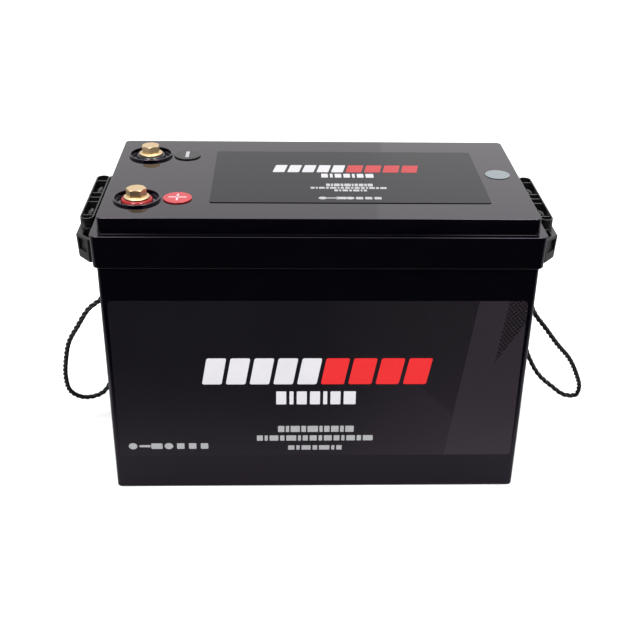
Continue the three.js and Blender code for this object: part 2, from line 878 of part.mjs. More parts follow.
// The lead from the battery manager to the negative insert.
function makeNegativeLead() {
  const deck = BMS_Z + BMS.thickness + 4 + GAP;
  const x = HEAT_SINK.x + 47;
  const under = INSERT.low - GAP - LUG.thickness;
  const route = [
    [x - 3, 22, deck + 4],
    [x - 16, 32, deck + 4],
    [x - 30, 44, deck + 4],
    [x - 70, 52, deck + 3.5],
    [-60, 52, deck + 2],
    [TERMINAL.x + 34, TERMINAL.y, deck],
    [TERMINAL.x + 7, TERMINAL.y, under - 2.4],
  ];
  return join(
    tube(route, CABLE.radius, CABLE.sides, CABLE.steps),
    lug(TERMINAL.x, TERMINAL.y, under, 9),
    box([x - 5, 18, deck], [x + 5, 26, deck + 5]),
    box([TERMINAL.x + 3, TERMINAL.y - 4, under - 5], [TERMINAL.x + 9, TERMINAL.y + 4, under + 1]),
  );
}

// The flat sense harness: a trunk over the cells with a tail to each busbar.
function makeHarness() {
  const low = CELL.top + 1;
  const high = low + 0.8;
  const trunkY = 22;
  const half = PACK_HALF - 8;
  const riserX = -COVER_BOARD.halfLength - 4;
  const deck = BMS_Z + BMS.thickness + 6 + GAP;
  const tails = Array.from({ length: CELL.count - 1 }, (_, i) => {
    const x = cellX(i + 1) + PITCH / 2;
    const reach = CELL.terminalY - BUSBAR.halfWidth - 1;
    const ends = i % 2 === 0 ? [trunkY, reach] : [-reach, trunkY];
    return box([x - 1.5, ends[0], low], [x + 1.5, ends[1], high]);
  });
  return join(
    box([-half, trunkY - 3, low], [half, trunkY + 3, high]),
    box([riserX - 1, trunkY - 3, low], [riserX, trunkY + 3, deck + 0.8]),
    box([riserX - 1, trunkY - 3, deck], [HEAT_SINK.x - 50, trunkY + 3, deck + 0.8]),
    box([HEAT_SINK.x - 50, -10, deck], [HEAT_SINK.x - 43, trunkY + 3, deck + 3]),
    ...tails,
  );
}

// --- Assembly --------------------------------------------------------------------------

function moved(mesh, x, y, z) {
  mesh.position.set(x, y, z);
  return mesh;
}

function housing() {
  return [
    piece("case", makeCase(), GLOSS_BLACK),
    piece("lid", makeLid(), GLOSS_BLACK),
    piece("lid_seal", makeSeal(), FOAM_GASKET),
    frontLabel(),
    topLabel(),
    sealSticker(),
  ];
}

function terminal(name, y, ringMaterial, headTurn) {
  return [
    piece(`${name}_terminal_ring`, makeTerminalRing(), ringMaterial),
    piece(`${name}_terminal_insert`, makeInsert(), BRASS),
    piece(`${name}_spring_washer`, makeSpringWasher(), SPRING_STEEL),
    piece(`${name}_bolt`, makeBolt(headTurn), BRASS),
  ].map((mesh) => moved(mesh, TERMINAL.x, y, 0));
}

function polarityDiscs() {
  const plus = [[7, 0.85], [0.85, 6.6]];
  const minus = [[1.5, 7.2]];
  return [
    moved(piece("plus_disc", makeDisc(plus), RED_PLASTIC), DISC.x, -DISC.y, 0),
    moved(piece("minus_disc", makeDisc(minus), GREY_DISC), DISC.x, DISC.y, 0),
  ];
}

function cells() {
  return Array.from({ length: CELL.count }, (_, i) =>
    moved(piece(`cell_${i + 1}`, makeCell(), CELL_BLUE), cellX(i + 1), 0, 0),
  );
}

// Separators lie between neighbouring cells; busbars join them, on alternate sides.
function betweenCells() {
  return Array.from({ length: CELL.count - 1 }, (_, i) => {
    const x = cellX(i + 1) + PITCH / 2;
    const side = i % 2 === 0 ? 1 : -1;
    return [
      moved(piece(`cell_separator_${i + 1}`, makeSeparator(), GLASS_BOARD), x, 0, 0),
      moved(piece(`busbar_${i + 1}`, makeBusbar(), COPPER), x, side * CELL.terminalY, 0),
    ];
  }).flat();
}

function packFrame() {
  const left = -PACK_HALF - GAP - END_PLATE.thickness;
  return [
    moved(piece("end_plate_left", makeEndPlate(), END_BOARD), left, 0, 0),
    moved(piece("end_plate_right", makeEndPlate(), END_BOARD), PACK_HALF + GAP, 0, 0),
    piece("cell_band", makeBand(), STEEL_BAND),
    piece("cover_board", makeCoverBoard(), GLASS_BOARD),
  ];
}

function electronics() {
  return [
    piece("manager_heat_sink", makeHeatSink(), ALUMINIUM),
    piece("manager_board", makeManagerBoard(), CIRCUIT_GREEN),
    piece("positive_link", makePositiveLink(), COPPER),
    piece("pack_lead", makePackLead(), BLACK_CABLE),
    piece("negative_lead", makeNegativeLead(), BLACK_CABLE),
    piece("sense_harness", makeHarness(), HARNESS_WHITE),
  ];
}

const battery = new THREE.Group();
battery.add(
  ...housing(),
  ...terminal("positive", -TERMINAL.y, RED_PLASTIC, 0),
  ...terminal("negative", TERMINAL.y, BLACK_PLASTIC, TURN / 12),
  ...polarityDiscs(),
  ...handle("left", true, LEFT_ROUTE),
  ...handle("right", false, RIGHT_ROUTE),
  ...cells(),
  ...betweenCells(),
  ...packFrame(),
  ...electronics(),
);

export default battery;
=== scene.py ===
import json
import math

import bmesh
import bpy
from mathutils import Matrix, Vector


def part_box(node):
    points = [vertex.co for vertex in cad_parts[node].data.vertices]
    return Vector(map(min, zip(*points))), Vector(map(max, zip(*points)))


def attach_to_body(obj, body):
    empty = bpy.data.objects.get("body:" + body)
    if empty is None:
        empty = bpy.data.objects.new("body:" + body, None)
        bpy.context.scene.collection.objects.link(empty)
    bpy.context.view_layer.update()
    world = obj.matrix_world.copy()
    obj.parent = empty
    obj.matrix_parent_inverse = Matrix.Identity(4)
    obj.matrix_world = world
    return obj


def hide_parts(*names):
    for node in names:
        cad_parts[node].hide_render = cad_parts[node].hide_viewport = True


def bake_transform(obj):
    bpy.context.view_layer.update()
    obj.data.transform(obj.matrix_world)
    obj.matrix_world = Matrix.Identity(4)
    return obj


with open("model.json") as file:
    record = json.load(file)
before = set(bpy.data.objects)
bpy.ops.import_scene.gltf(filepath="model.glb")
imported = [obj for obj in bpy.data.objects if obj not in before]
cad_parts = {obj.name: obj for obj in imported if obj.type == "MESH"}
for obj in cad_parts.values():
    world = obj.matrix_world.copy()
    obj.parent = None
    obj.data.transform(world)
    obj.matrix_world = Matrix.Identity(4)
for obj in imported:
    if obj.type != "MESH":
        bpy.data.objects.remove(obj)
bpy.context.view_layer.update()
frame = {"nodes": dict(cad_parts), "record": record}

MM = 0.001
TURN = 2 * math.pi


# --- Helpers ---------------------------------------------------------------------------


def link(name, data):
    made = bpy.data.objects.new(name, data)
    bpy.context.scene.collection.objects.link(made)
    return made


def centre_of(node):
    low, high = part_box(node)
    return (low + high) / 2


def mesh_piece(name, bm, material, sharp=30, weighted=True):
    """A bmesh in millimetres as a smooth-shaded object whose edges over the angle stay sharp."""
    bmesh.ops.recalc_face_normals(bm, faces=bm.faces)
    bmesh.ops.scale(bm, vec=(MM, MM, MM), verts=bm.verts)
    mesh = bpy.data.meshes.new(name)
    bm.to_mesh(mesh)
    bm.free()
    mesh.shade_smooth()
    mesh.set_sharp_from_angle(angle=math.radians(sharp))
    mesh.materials.append(material)
    made = link(name, mesh)
    if weighted:
        modifier = made.modifiers.new("weighted_normals", "WEIGHTED_NORMAL")
        modifier.keep_sharp = True
    return made


def attach(piece, slot, *nodes, body="battery"):
    """The piece rides on its body and stands for the nodes, which it hides. The slot is not used."""
    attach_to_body(piece, body)
    if nodes:
        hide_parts(*nodes)
    return piece


def add_ring(bm, points):
    return [bm.verts.new(p) for p in points]


def bridge(bm, low, high):
    count = len(low)
    for i in range(count):
        j = (i + 1) % count
        bm.faces.new((low[i], low[j], high[j], high[i]))


def loft(bm, rings, caps=(True, True)):
    """Joins rings of equal length into a skin, and closes its ends."""
    made = [add_ring(bm, ring) for ring in rings]
    for low, high in zip(made, made[1:]):
        bridge(bm, low, high)
    if caps[0]:
        bm.faces.new(made[0][::-1])
    if caps[1]:
        bm.faces.new(made[-1])
    return made


def rounded_rectangle(half_x, half_y, radius, steps, z):
    points = []
    for quarter, (sx, sy) in enumerate(((1, 1), (-1, 1), (-1, -1), (1, -1))):
        for step in range(steps + 1):
            angle = (quarter + step / steps) * TURN / 4
            x = sx * (half_x - radius) + radius * math.cos(angle)
            y = sy * (half_y - radius) + radius * math.sin(angle)
            points.append((x, y, z))
    return points


def circle(x, y, z, radius, segments):
    angles = (TURN * i / segments for i in range(segments))
    return [(x + radius * math.cos(a), y + radius * math.sin(a), z) for a in angles]


def turned(bm, profile, x=0, y=0, segments=64, caps=(True, True)):
    """A turned skin round a vertical axis, through [radius, z] pairs from one end to the other."""
    return loft(bm, [circle(x, y, z, r, segments) for r, z in profile], caps)


def arc(centre_r, centre_z, radius, start, end, steps):
    """[radius, z] pairs on an arc, its angles in degrees from the +r direction."""
    pairs = []
    for step in range(steps + 1):
        angle = math.radians(start + (end - start) * step / steps)
        pairs.append((centre_r + radius * math.cos(angle), centre_z + radius * math.sin(angle)))
    return pairs


# --- Materials -------------------------------------------------------------------------


class Nodes:
    """Builds a material's node tree with short calls."""

    def __init__(self, name):
        self.material = bpy.data.materials.new(name)
        self.material.use_nodes = True
        self.tree = self.material.node_tree
        self.shader = self.tree.nodes["Principled BSDF"]
        self.place = self.add("ShaderNodeTexCoord").outputs["Object"]

    def add(self, kind, **settings):
        node = self.tree.nodes.new(kind)
        for key, value in settings.items():
            setattr(node, key, value)
        return node

    def feed(self, socket, value):
        if isinstance(value, bpy.types.NodeSocket):
            self.tree.links.new(value, socket)
        else:
            socket.default_value = value

    def math(self, operation, a, b=0.0):
        node = self.add("ShaderNodeMath", operation=operation)
        self.feed(node.inputs[0], a)
        self.feed(node.inputs[1], b)
        return node.outputs[0]

    def noise(self, scale, detail=3.0, place=None):
        node = self.add("ShaderNodeTexNoise")
        self.feed(node.inputs["Vector"], place or self.place)
        node.inputs["Scale"].default_value = scale
        node.inputs["Detail"].default_value = detail
        return node.outputs["Fac"]

    def span(self, value, low, high, out_low, out_high):
        """The value from low to high as out_low to out_high, held at the ends."""
        node = self.add("ShaderNodeMapRange")
        for i, x in enumerate((value, low, high, out_low, out_high)):
            self.feed(node.inputs[i], x)
        return node.outputs[0]

    def step(self, value, edge, soft=0.0002):
        """0 below the edge and 1 above it."""
        return self.span(value, edge - soft, edge + soft, 0.0, 1.0)

    def mix(self, share, a, b):
        node = self.add("ShaderNodeMix", data_type="RGBA")
        self.feed(node.inputs[0], share)
        self.feed(node.inputs[6], a)
        self.feed(node.inputs[7], b)
        return node.outputs[2]

    def bump(self, height, depth, strength=1.0, normal=None):
        node = self.add("ShaderNodeBump")
        node.inputs["Strength"].default_value = strength
        node.inputs["Distance"].default_value = depth
        self.feed(node.inputs["Height"], height)
        if normal is not None:
            self.feed(node.inputs["Normal"], normal)
        return node.outputs[0]

    def axes(self):
        node = self.add("ShaderNodeSeparateXYZ")
        self.feed(node.inputs[0], self.place)
        return node.outputs

    def set(self, **inputs):
        for name, value in inputs.items():
            self.feed(self.shader.inputs[name.replace("_", " ")], value)
        return self


def rgba(r, g, b):
    return (r, g, b, 1.0)


# The faint violet that the studio's light takes in the battery's gloss.
GLOSS_TINT = rgba(0.93, 0.78, 1.0)


def plain(name, dark, light, rough=(0.3, 0.4), metal=0.0, grain=400, depth=0.00002, **more):
    """A moulded, drawn or cast surface: mottled between two colours, with a fine grain."""
    n = Nodes(name)
    mottle = n.noise(60)
    fine = n.noise(grain, 4.0)
    n.set(
        Base_Color=n.mix(mottle, rgba(*dark), rgba(*light)),
        Roughness=n.span(fine, 0.3, 0.7, *rough),
        Metallic=metal,
        Normal=n.bump(fine, depth),
        **more,
    )
    return n.material


def gloss_black_plastic():
    """Moulded black plastic: a near mirror that waves a little, with faint scuffs."""
    n = Nodes("gloss_black_plastic")
    waves = n.noise(18, 1.0)
    grain = n.noise(900, 2.0)
    scuffs = n.span(n.noise(140, 6.0), 0.62, 0.75, 0.0, 1.0)
    sheen = n.span(grain, 0.3, 0.7, 0.02, 0.045)
    n.set(
        Base_Color=n.mix(n.noise(40), rgba(0.0006, 0.0005, 0.0012), rgba(0.0012, 0.0011, 0.002)),
        Roughness=n.math("ADD", sheen, n.math("MULTIPLY", scuffs, 0.03)),
        Normal=n.bump(grain, 0.000003, 0.4, n.bump(waves, 0.0001, 0.25)),
        Specular_IOR_Level=0.6,
        Specular_Tint=GLOSS_TINT,
    )
    return n.material


def brass(name):
    n = Nodes(name)
    fine = n.noise(700, 3.0)
    n.set(
        Base_Color=n.mix(n.noise(150), rgba(0.66, 0.48, 0.27), rgba(0.76, 0.58, 0.36)),
        Roughness=n.span(fine, 0.3, 0.7, 0.34, 0.44),
        Metallic=1.0,
        Normal=n.bump(fine, 0.000004),
    )
    return n.material


def rope_fibre(name, dark, light):
    """Black polyester: fine filaments along each strand, with a dull gloss."""
    n = Nodes(name)
    uv = n.add("ShaderNodeUVMap", uv_map="rope").outputs[0]
    wave = n.add("ShaderNodeTexWave", wave_type="BANDS", bands_direction="DIAGONAL")
    n.feed(wave.inputs["Vector"], uv)
    wave.inputs["Scale"].default_value = 2.2
    wave.inputs["Distortion"].default_value = 3.0
    fibres = wave.outputs["Fac"]
    n.set(
        Base_Color=n.mix(fibres, dark, light),
        Roughness=n.span(fibres, 0.0, 1.0, 0.42, 0.28),
        Normal=n.bump(fibres, 0.00012, 0.7, n.bump(n.noise(2500), 0.00005)),
        Specular_IOR_Level=0.45,
    )
    return n.material


# The front label's art: a slanting edge at BAND_LEFT, a second one at WEDGE_LEFT, both measured
# along the label's top edge, a streak where x + z is STREAK, and the wedge's lower edge.
ART_SLANT = 0.125
BAND_LEFT = 0.125
WEDGE_LEFT = 0.1486
WEDGE_SLOPE = 1.72
WEDGE_FOOT = -0.1225
STREAK = 0.1833
DOTS_PER_METRE = 380


def label_film():
    """Dark printed film: a light field to the right of a slanting edge, and two dotted fields."""
    n = Nodes("front_label_film")
    x, _, z = n.axes()
    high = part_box("front_label")[1]
    down = n.math("SUBTRACT", high.z, z)
    # How far a point lies from the label's middle, with the slant of the edges taken out.
    slanted = n.math("ADD", x, n.math("MULTIPLY", down, ART_SLANT))
    band = n.step(slanted, BAND_LEFT)
    above_streak = n.step(n.math("ADD", x, z), STREAK)
    strength = n.span(above_streak, 0.0, 1.0, 0.62, 0.5)
    field = n.math("MULTIPLY", strength, n.span(x, 0.0, 0.12, 0.0, 1.0))
    light = n.math("MAXIMUM", band, field)
    wedge_edge = n.math("ADD", n.math("MULTIPLY", x, WEDGE_SLOPE), WEDGE_FOOT)
    over_wedge = n.math("SUBTRACT", z, wedge_edge)
    wedge = n.math("MULTIPLY", n.step(slanted, WEDGE_LEFT), n.step(over_wedge, 0.0))
    leaning = n.add("ShaderNodeMapping")
    leaning.inputs["Rotation"].default_value = (0.0, TURN / 9, 0.0)
    n.feed(leaning.inputs["Vector"], n.place)
    dots = n.add("ShaderNodeTexVoronoi", feature="F1")
    n.feed(dots.inputs["Vector"], leaning.outputs[0])
    dots.inputs["Scale"].default_value = DOTS_PER_METRE
    dots.inputs["Randomness"].default_value = 0.1
    dotted = n.span(dots.outputs["Distance"], 0.32, 0.5, 1.0, 0.0)
    left_field = n.math("MULTIPLY", above_streak, n.span(slanted, 0.04, 0.12, 0.0, 0.7))
    left_field = n.math("MULTIPLY", left_field, n.math("SUBTRACT", 1.0, band))
    colour = n.mix(n.noise(22, 5.0), rgba(0.0042, 0.0040, 0.0052), rgba(0.0058, 0.0054, 0.0068))
    colour = n.mix(light, colour, rgba(0.0175, 0.014, 0.0175))
    colour = n.mix(n.math("MULTIPLY", left_field, dotted), colour, rgba(0.0045, 0.0038, 0.005))
    wedge_dots = n.math("MULTIPLY", wedge, n.span(dotted, 0.0, 1.0, 0.1, 0.8))
    colour = n.mix(wedge_dots, colour, rgba(0.002, 0.002, 0.0025))
    fine = n.noise(1200, 2.0)
    n.set(
        Base_Color=colour,
        Roughness=n.span(fine, 0.3, 0.7, 0.16, 0.22),
        Normal=n.bump(fine, 0.000004, 0.4, n.bump(n.noise(30), 0.0001, 0.2)),
        Specular_Tint=GLOSS_TINT,
    )
    return n.material


def top_label_film():
    n = Nodes("top_label_film")
    fine = n.noise(1200, 2.0)
    n.set(
        Base_Color=n.mix(n.noise(25), rgba(0.003, 0.0028, 0.0035), rgba(0.0045, 0.0042, 0.005)),
        Roughness=n.span(fine, 0.3, 0.7, 0.16, 0.22),
        Normal=n.bump(fine, 0.000004, 0.4, n.bump(n.noise(30), 0.0001, 0.2)),
        Specular_IOR_Level=0.19,
        Specular_Tint=GLOSS_TINT,
    )
    return n.material


def brushed(name, dark, light):
    """Rolled metal with fine lines along X."""
    n = Nodes(name)
    stretch = n.add("ShaderNodeMapping")
    n.feed(stretch.inputs["Vector"], n.place)
    stretch.inputs["Scale"].default_value = (0.04, 1.0, 1.0)
    lines = n.noise(1500, 2.0, stretch.outputs[0])
    n.set(
        Base_Color=n.mix(lines, rgba(*dark), rgba(*light)),
        Roughness=n.span(lines, 0.3, 0.7, 0.28, 0.42),
        Metallic=1.0,
        Normal=n.bump(lines, 0.00001),
    )
    return n.material


MAT = {
    "gloss_black_plastic": gloss_black_plastic(),
    "foam_rubber_seal": plain("foam_rubber_seal", (0.01,) * 3, (0.02,) * 3, (0.8, 0.95), depth=0.0001),
    "front_label": label_film(),
    "top_label": top_label_film(),
    "silver_film": plain("silver_film", (0.15, 0.17, 0.185), (0.22, 0.245, 0.26), (0.3, 0.5), 0.25, 900),
    "red_plastic": plain(
        "red_plastic", (0.21, 0.003, 0.004), (0.25, 0.004, 0.006), (0.03, 0.05), depth=0.000002,
        Specular_IOR_Level=0.4,
    ),
    "black_plastic": plain("black_plastic", (0.001,) * 3, (0.002,) * 3, (0.03, 0.05), depth=0.000002),
    "disc_red": plain("disc_red", (0.3, 0.018, 0.024), (0.36, 0.024, 0.032), (0.25, 0.35)),
    "disc_grey": plain("disc_grey", (0.003,) * 3, (0.006, 0.0055, 0.0065), (0.25, 0.35)),
    "mark_pink": plain("mark_pink", (0.48, 0.29, 0.32), (0.55, 0.34, 0.37), (0.4, 0.5)),
    "mark_grey": plain("mark_grey", (0.25, 0.25, 0.27), (0.32, 0.32, 0.34), (0.4, 0.5)),
    "print_white": plain("print_white", (0.45, 0.44, 0.465), (0.5, 0.49, 0.515), (0.35, 0.45)),
    "print_red": plain(
        "print_red", (0.5, 0.006, 0.008), (0.56, 0.009, 0.011), (0.35, 0.45), Specular_IOR_Level=0.25
    ),
    "top_print_white": plain("top_print_white", (0.36, 0.35, 0.37), (0.4, 0.39, 0.41), (0.35, 0.45)),
    "top_print_red": plain("top_print_red", (0.28, 0.006, 0.009), (0.32, 0.009, 0.012), (0.35, 0.45)),
    "print_grey": plain("print_grey", (0.24, 0.24, 0.25), (0.3, 0.3, 0.31), (0.35, 0.45)),
    "brass": brass("brass"),
    "spring_steel": brushed("spring_steel", (0.35, 0.35, 0.36), (0.5, 0.5, 0.5)),
    "satin_black_plastic": plain(
        "satin_black_plastic", (0.003,) * 3, (0.006,) * 3, (0.26, 0.36), grain=1500, depth=0.00003
    ),
    "rope": rope_fibre("rope", rgba(0.001, 0.001, 0.0014), rgba(0.004, 0.004, 0.0045)),
    # A lighter copy of the rope for the knots: painted highlight where the knots catch the light.
    "rope_knot": rope_fibre("rope_knot", rgba(0.02, 0.02, 0.022), rgba(0.07, 0.068, 0.072)),
    "cell_wrap": plain("cell_wrap", (0.02, 0.09, 0.3), (0.03, 0.13, 0.4), (0.3, 0.45)),
    "glass_board": plain("glass_board", (0.5, 0.52, 0.3), (0.6, 0.62, 0.4), (0.6, 0.75), depth=0.0001),
    "copper": brushed("copper", (0.6, 0.28, 0.14), (0.8, 0.42, 0.24)),
    "composite_board": plain("composite_board", (0.025, 0.03, 0.035), (0.045, 0.05, 0.055), (0.6, 0.8)),
    "steel_band": brushed("steel_band", (0.45, 0.45, 0.46), (0.62, 0.62, 0.62)),
    "aluminium": brushed("aluminium", (0.6, 0.6, 0.62), (0.75, 0.75, 0.77)),
    "circuit_board": plain("circuit_board", (0.008, 0.09, 0.03), (0.015, 0.14, 0.05), (0.3, 0.5)),
    "cable": plain("cable", (0.008,) * 3, (0.015,) * 3, (0.5, 0.65)),
    "harness": plain("harness", (0.55, 0.55, 0.5), (0.68, 0.68, 0.64), (0.5, 0.65)),
}


# --- Camera ----------------------------------------------------------------------------

CAMERA_AT = (-0.0275, -0.8261, 0.5514)
CAMERA_TURN = {"yaw": 2.22, "pitch": 27.99, "roll": -1.05}
CAMERA_LENS = 59.98


def make_camera():
    data = bpy.data.cameras.new("camera")
    data.sensor_width = 36
    data.lens = CAMERA_LENS
    camera = link("camera", data)
    yaw, pitch, roll = (math.radians(CAMERA_TURN[k]) for k in ("yaw", "pitch", "roll"))
    ahead = Vector((math.sin(yaw) * math.cos(pitch), math.cos(yaw) * math.cos(pitch), -math.sin(pitch)))
    right = Vector((math.cos(yaw), -math.sin(yaw), 0))
    down = ahead.cross(right)
    x_axis = right * math.cos(roll) + down * math.sin(roll)
    y_axis = right * math.sin(roll) - down * math.cos(roll)
    turn = Matrix((x_axis, y_axis, -ahead)).transposed()
    camera.matrix_world = Matrix.Translation(CAMERA_AT) @ turn.to_4x4()
    bpy.context.scene.camera = camera


make_camera()


# --- Rope handles ----------------------------------------------------------------------

ROPE_RADIUS = 2.0
STRANDS = 3
STRAND_SIDES = 8
STRAND_CENTRE = 1.12
STRAND_RADIUS = 1.1
ROPE_LAY = 16.0
ROPE_STEP = 0.8
ROPE_EXIT = (178.0, 197.0)
ROPE_LEG = 24
BLOCK_LOW = 199.5
KNOT_AT = (181.8, 221.5)
# Where the loop's mesh meets the short elbows that bend at the exits.
ELBOW_END = 190.5
ELBOW_TOP = 206.0
# How far over and under each bend the rope turns.
KNOT_TURNS = 1.6
KNOT_COIL = 1.35
KNOT_WIDTH = 4.4
KNOT_SHRINK = 0.93
LEFT_ROUTE = (
    (178, -24, 183.5), (176.6, -25, 172), (174.8, -27, 160), (178.2, -29, 149),
    (190.4, -29.6, 138.3), (201.1, -28.5, 121.5), (210.5, -25, 104.4), (215.8, -20, 85.1),
    (219.2, -14, 62.9), (217.7, -6, 42.6), (207.3, 2, 31.6), (193.4, 10, 31.2),
    (186.6, 16, 38), (183, 20, 52), (180.7, 22.5, 78), (179.2, 23.4, 108),
    (178.4, 24, 140), (178.1, 24, 165), (178, 24, 183.5),
)
RIGHT_ROUTE = (
    (178, -24, 183.5), (177.2, -25, 171), (177.4, -27, 158), (180.4, -28.5, 146),
    (186.2, -29.5, 133.5), (196.2, -29, 120.5), (209.7, -26, 102.2), (224, -19, 84),
    (234.6, -12, 64), (241.4, -4.8, 45.5), (240.2, -1, 34.8), (231, 4, 32.2),
    (219.5, 9.5, 38.6), (209.4, 17, 45.3), (201.5, 21.5, 57), (193.5, 23.5, 76),
    (187.5, 24, 96), (183, 24, 119), (180, 24, 143), (178.5, 24, 165), (178, 24, 183.5),
)


def smooth_path(points, spacing):
    """Even steps along a centripetal Catmull-Rom curve through the points."""
    known = [Vector(p) for p in points]
    known = [2 * known[0] - known[1], *known, 2 * known[-1] - known[-2]]
    fine = []
    for a, b, c, d in zip(known, known[1:], known[2:], known[3:]):
        dt = [max(math.sqrt((q - p).length), 1e-6) for p, q in ((a, b), (b, c), (c, d))]
        start = ((b - a) / dt[0] - (c - a) / (dt[0] + dt[1]) + (c - b) / dt[1]) * dt[1]
        end = ((c - b) / dt[1] - (d - b) / (dt[1] + dt[2]) + (d - c) / dt[2]) * dt[1]
        for step in range(40):
            t = step / 40
            fine.append(
                b + start * t + (3 * (c - b) - 2 * start - end) * t**2
                + (2 * (b - c) + start + end) * t**3
            )
    fine.append(known[-2])
    even, carried = [fine[0]], 0.0
    for p, q in zip(fine, fine[1:]):
        length = (q - p).length
        while carried + length >= spacing:
            p = p.lerp(q, (spacing - carried) / length)
            even.append(p)
            length, carried = (q - p).length, 0.0
        carried += length
    return even


def strand_section():
    """[angle, radius] pairs round the rope's lobed section."""
    section = []
    for i in range(STRANDS * STRAND_SIDES):
        angle = TURN * i / (STRANDS * STRAND_SIDES)
        off = (angle + TURN / STRANDS / 2) % (TURN / STRANDS) - TURN / STRANDS / 2
        reach = math.sqrt(STRAND_RADIUS**2 - (STRAND_CENTRE * math.sin(off)) ** 2)
        section.append((angle, STRAND_CENTRE * math.cos(off) + reach))
    return section


def path_frames(path):
    """Two directions across the path at each point, carried along without twist."""
    side = Vector((0, 1, 0))
    frames = []
    for i, _ in enumerate(path):
        along = (path[min(i + 1, len(path) - 1)] - path[max(i - 1, 0)]).normalized()
        side = (side - along * side.dot(along)).normalized()
        frames.append((side, along.cross(side)))
    return frames


def rope_piece(name, path, frames, first, last):
    """The stretch of twisted rope from one step of the path to another."""
    section = strand_section()
    bm = bmesh.new()
    layer = bm.loops.layers.uv.new("rope")
    rings = []
    for i in range(first, last + 1):
        side, across = frames[i]
        twist = TURN * i * ROPE_STEP / ROPE_LAY
        rings.append([
            path[i] + (side * math.cos(a + twist) + across * math.sin(a + twist)) * r
            for a, r in section
        ])
    made = loft(bm, rings)
    place = {v: (k, r) for r, ring in enumerate(made) for k, v in enumerate(ring)}
    for face in bm.faces:
        for loop in face.loops:
            k, r = place[loop.vert]
            loop[layer].uv = (k / STRAND_SIDES, (first + r) * ROPE_STEP / ROPE_RADIUS)
    return mesh_piece(name, bm, MAT["rope"], sharp=70, weighted=False)


def on_slant(y, z):
    share = (z - BLOCK_LOW) / (KNOT_AT[1] - BLOCK_LOW)
    return (ROPE_EXIT[0] + share * (KNOT_AT[0] - ROPE_EXIT[0]), y, z)


def step_at_height(path, z, near_end):
    """The step where the path crosses a height, counted from its start or its end."""
    steps = range(len(path)) if not near_end else range(len(path) - 1, -1, -1)
    return next(i for i in steps if path[i].z <= z)


def knot(name, side_x, y):
    """Two tight turns of the rope in the cup, with its stem below and its cut end on top."""
    x, z = KNOT_AT
    points = [on_slant(y, ELBOW_TOP - 2), on_slant(y, ELBOW_TOP + 5)]
    steps = 14
    for i in range(steps + 1):
        angle = TURN * KNOT_TURNS * i / steps - TURN / 4
        points.append((
            x + KNOT_COIL * math.cos(angle),
            y - KNOT_WIDTH / 2 + KNOT_WIDTH * i / steps,
            z + KNOT_COIL * math.sin(angle),
        ))
    points.append((x, y + 1.4, z + 2.6))
    path = smooth_path([(side_x * px, py, pz) for px, py, pz in points], ROPE_STEP / 2)
    section = strand_section()
    bm = bmesh.new()
    bm.loops.layers.uv.new("rope")
    rings = []
    for i, (side, across) in enumerate(path_frames(path)):
        twist = TURN * i * ROPE_STEP / 2 / ROPE_LAY
        rings.append([
            path[i] + (side * math.cos(a + twist) + across * math.sin(a + twist)) * r * KNOT_SHRINK
            for a, r in section
        ])
    loft(bm, rings)
    # The knots take the lighter rope copy: painted highlight, as they catch the light.
    return mesh_piece(name, bm, MAT["rope_knot"], sharp=70, weighted=False)


def rope_handle(label, side_x, route):
    """One handle: two elbows that bend at the exits, the hanging loop, and the knots."""
    front = [
        on_slant(-ROPE_LEG, ELBOW_TOP),
        on_slant(-ROPE_LEG, BLOCK_LOW + 1.5),
        (ROPE_EXIT[0], -ROPE_LEG, ROPE_EXIT[1] - 3),
    ]
    back = [(x, -y, z) for x, y, z in reversed(front)]
    whole = [(side_x * x, y, z) for x, y, z in (*front, *route, *back)]
    path = smooth_path(whole, ROPE_STEP)
    frames = path_frames(path)
    first = step_at_height(path, ELBOW_END, False)
    last = step_at_height(path, ELBOW_END, True)
    ends = (("front", 0, first, -ROPE_LEG), ("back", last, len(path) - 1, ROPE_LEG))
    for end, start, stop, y in ends:
        elbow = rope_piece(f"{label}_rope_elbow_{end}", path, frames, start, stop)
        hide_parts(f"{label}_rope_root_{end}")
        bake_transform(elbow)
        made = knot(f"{label}_rope_knot_{end}_mesh", side_x, y)
        attach(made, "rope", f"{label}_rope_knot_{end}")
    loop = rope_piece(f"{label}_rope", path, frames, first, last)
    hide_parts(f"{label}_rope_loop")
    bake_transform(loop)
    [p * MM for p in path[first:last + 1]]


rope_handle("left", -1, LEFT_ROUTE)
rope_handle("right", 1, RIGHT_ROUTE)


# --- Case and lid ----------------------------------------------------------------------

CORNER_STEPS = 10
WALL_DRAFT = 1.35 / 226
CASE_CORNER = 4
CASE_WALL = 3.2
CASE_FLOOR = 4.0
RIM_EDGE = 0.4
BASE_ROUND = 1.5
LEDGE = 232.2
LEDGE_ROUND = 0.35
SKIRT_CORNER = 5.5
TIER_INSET = 5.5
TIER_CORNER = 4
TIER_ROUND = 0.5
LID_WALL = 3.5
SKIRT_DRAFT = 0.8
SKIRT_ROUND = 1.2
CASE_CLEARANCE = 0.6
SHOULDER = 228.6
ROOF = 241.5
DISH_RADIUS = 18.5
DISH_RIM = 1.9
DISH_DEPTH = 1.6
DISH_SEGMENTS = 96
BORE = 7.8
LABEL_GAP = 0.15


def millimetres(node):
    low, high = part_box(node)
    return low / MM, high / MM


def round_levels(z, radius, inset, side, steps=5):
    """[inset, z] pairs of a quarter round on an outside edge: side 1 on top, -1 below."""
    pairs = []
    for step in range(steps + 1):
        angle = step / steps * TURN / 4
        pairs.append((inset + radius * (1 - math.sin(angle)), z - side * radius * (1 - math.cos(angle))))
    return pairs if side < 0 else pairs[::-1]


